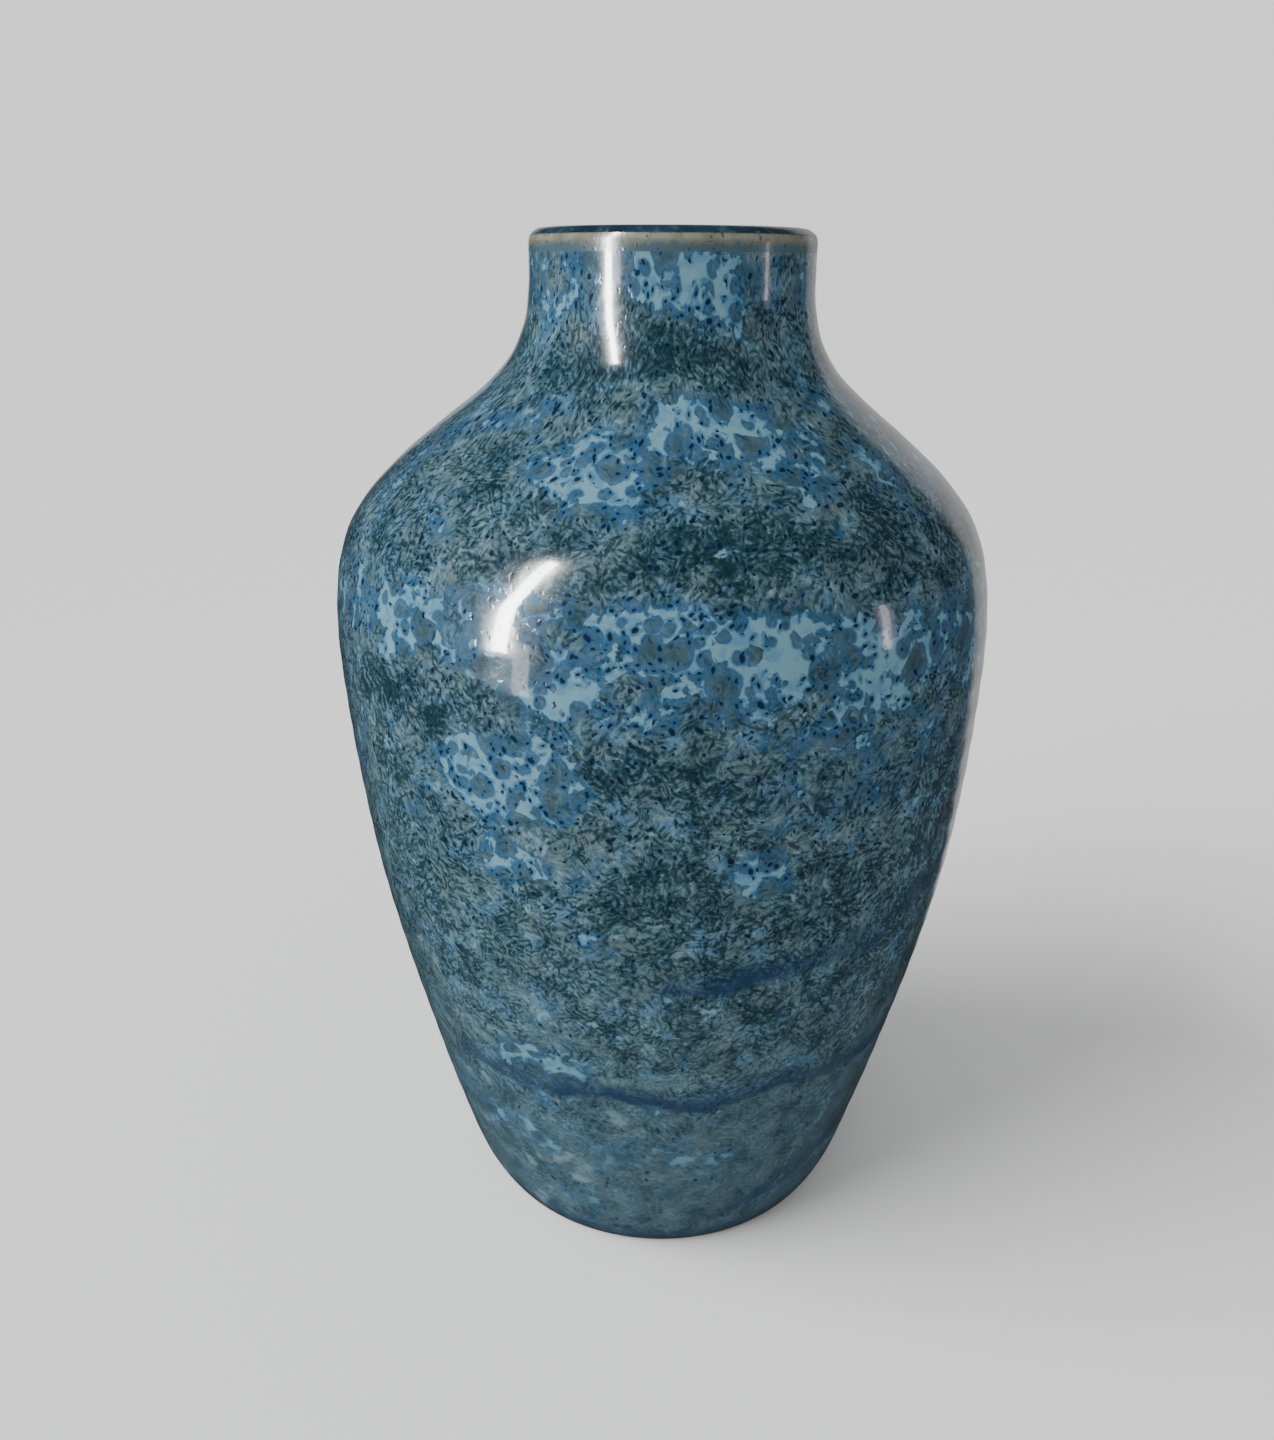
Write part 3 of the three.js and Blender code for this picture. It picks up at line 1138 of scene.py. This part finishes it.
@dataclass(frozen=True)
class Viewpoint:
    """The camera: close to the vase, level with its lip and tipped down to take in the whole of it.

    Attributes:
        distance: how far it is from the axis.
        height: how high it is.
        pitch: how far it looks down, in radians.
        yaw: how far it is turned to the right, in radians.
        roll: how far it is tilted to the right, in radians.
        lens: the focal length for a sensor 36 mm wide, in millimetres.
        reach: the nearest and the farthest distance that it sees.
    """

    distance: float = 265.7 * MM
    height: float = 242.7 * MM
    pitch: float = math.radians(22.95)
    yaw: float = math.radians(-1.48)
    roll: float = math.radians(0.334)
    lens: float = 27.0
    reach: Span = (0.01, 50.0)

    def build(self) -> None:
        """Make the camera and use it."""
        forward = Vector((
            math.sin(self.yaw) * math.cos(self.pitch), math.cos(self.yaw) * math.cos(self.pitch),
            -math.sin(self.pitch),
        ))
        level = Vector((math.cos(self.yaw), -math.sin(self.yaw), 0.0))
        over = level.cross(forward)
        right = level * math.cos(self.roll) + over * math.sin(self.roll)
        up = over * math.cos(self.roll) - level * math.sin(self.roll)
        turn = Matrix((right, up, -forward)).transposed().to_4x4()
        data = bpy.data.cameras.new("viewpoint")
        data.lens = self.lens
        data.sensor_width = 36.0
        data.clip_start, data.clip_end = self.reach
        camera = show("viewpoint", data)
        camera.matrix_world = Matrix.Translation((0.0, -self.distance, self.height)) @ turn
        bpy.context.scene.camera = camera


@dataclass(frozen=True)
class Softbox:
    """A rectangular light that stands upright and faces the axis, and that only the glaze's mirror shows.

    Attributes:
        name: the light's name.
        azimuth: its direction from the vase, in degrees.
        height: the height of its middle.
        distance: how far it is from the axis.
        width: its width.
        tall: its height from edge to edge.
        radiance: how bright its face is.
        colour: its colour, in linear light.
    """

    name: str
    azimuth: float
    height: float
    distance: float
    width: float
    tall: float
    radiance: float
    colour: Colour = (1.0, 1.0, 1.0)

    def build(self) -> None:
        """Make the light."""
        data = bpy.data.lights.new(self.name, "AREA")
        data.shape = "RECTANGLE"
        data.size = self.width
        data.size_y = self.tall
        data.energy = self.radiance * math.pi * self.width * self.tall
        data.color = self.colour
        light = show(self.name, data)
        outwards = aimed_from(self.azimuth)
        light.location = outwards * self.distance + Vector((0.0, 0.0, self.height))
        light.rotation_euler = (-outwards).to_track_quat("-Z", "Y").to_euler()
        light.visible_diffuse = False


@dataclass(frozen=True)
class SoftSun:
    """Even light from one side, from a broad patch of sky that the glaze doesn't mirror.

    Attributes:
        name: the light's name.
        azimuth: the direction that it shines from, in degrees.
        elevation: how high it stands, in degrees.
        strength: the power that it brings to a square metre.
        spread: how wide its patch of sky is, in degrees.
    """

    name: str
    azimuth: float
    elevation: float
    strength: float
    spread: float

    def build(self) -> None:
        """Make the light."""
        data = bpy.data.lights.new(self.name, "SUN")
        data.energy = self.strength
        data.angle = math.radians(self.spread)
        light = show(self.name, data)
        inwards = -aimed_from(self.azimuth, self.elevation)
        light.rotation_euler = inwards.to_track_quat("-Z", "Y").to_euler()
        light.visible_glossy = False


@dataclass(frozen=True)
class Studio:
    """The pale floor, the surroundings and the lights.

    Attributes:
        floor_size: the floor's side.
        floor_colour: the floor's colour.
        floor_roughness: how matt the floor is.
        floor_sheen: the strength of the floor's reflection.
        seen: the surroundings as the viewer sees them.
        ambient: the surroundings as they light the vase.
        room_front: the dim room that the glaze mirrors.
        room_sides: the paler far side of that room.
        side_turn: how far to the right the paler side is turned.
        side_edge: where its soft edge starts and ends.
        lights: the lights.
    """

    floor_size: float = 60.0
    floor_colour: Colour = (0.86, 0.86, 0.86)
    floor_roughness: float = 0.7
    floor_sheen: float = 0.2
    seen: Colour = (1.15, 1.15, 1.15)
    ambient: Colour = (0.64, 0.64, 0.64)
    room_front: Colour = (0.03, 0.035, 0.04)
    room_sides: Colour = (0.50, 0.49, 0.48)
    side_turn: float = 0.25
    side_edge: Span = (0.82, 0.87)
    lights: tuple[Softbox | SoftSun, ...] = (
        Softbox("tall_window", azimuth=-50, height=0.81, distance=1.1, width=0.10, tall=1.40, radiance=130.0),
        Softbox("window_glow", azimuth=-43, height=0.10, distance=1.1, width=0.10, tall=0.36, radiance=8.0),
        Softbox("far_doorway", azimuth=76, height=0.25, distance=1.4, width=0.08, tall=0.4, radiance=6.0,
                colour=(1.0, 0.88, 0.88)),
        SoftSun("window_light", azimuth=-75, elevation=32, strength=4.9, spread=50),
    )

    def build(self) -> None:
        """Make the floor, the world and the lights."""
        work = bmesh.new()
        bmesh.ops.create_grid(work, x_segments=2, y_segments=2, size=self.floor_size / 2)
        mesh = bpy.data.meshes.new("studio_floor")
        work.to_mesh(mesh)
        work.free()
        tree = Tree(bpy.data.materials.new("pale_floor"))
        shader = tree.add("ShaderNodeBsdfPrincipled", None, {
            "Base Color": (*self.floor_colour, 1.0), "Roughness": self.floor_roughness,
            "Specular IOR Level": self.floor_sheen,
        })
        mesh.materials.append(tree.finish(tree.wire(shader)))
        floor = show("studio_floor", mesh)
        floor.visible_glossy = False
        self.surround()
        for light in self.lights:
            light.build()
        log.info("%s and %d lights", floor.name, len(self.lights))

    def surround(self) -> None:
        """Make the world: pale to the viewer, even for the light, and a dim room in the glaze's mirror."""
        world = bpy.data.worlds.new("studio")
        bpy.context.scene.world = world
        tree = Tree(world)
        x, y, _ = tree.parts(tree.wire(tree.add("ShaderNodeTexCoord"), "Generated"))
        behind = tree.step(y + x * self.side_turn, *self.side_edge)
        ray = tree.add("ShaderNodeLightPath")
        colour = tree.mix(behind, self.room_front, self.room_sides)
        colour = tree.mix(tree.wire(ray, "Is Glossy Ray"), self.ambient, colour)
        colour = tree.mix(tree.wire(ray, "Is Camera Ray"), colour, self.seen)
        background = tree.add("ShaderNodeBackground", None, {"Color": colour})
        tree.add("ShaderNodeOutputWorld", None, {"Surface": tree.wire(background)})


def main() -> None:
    """Build the vase and its studio in order."""
    logging.basicConfig(level=logging.INFO, format="%(name)s: %(message)s")
    for part in (Viewpoint(), Clay(), Coats(), Studio()):
        part.build()


if __name__ == "__main__":
    main()
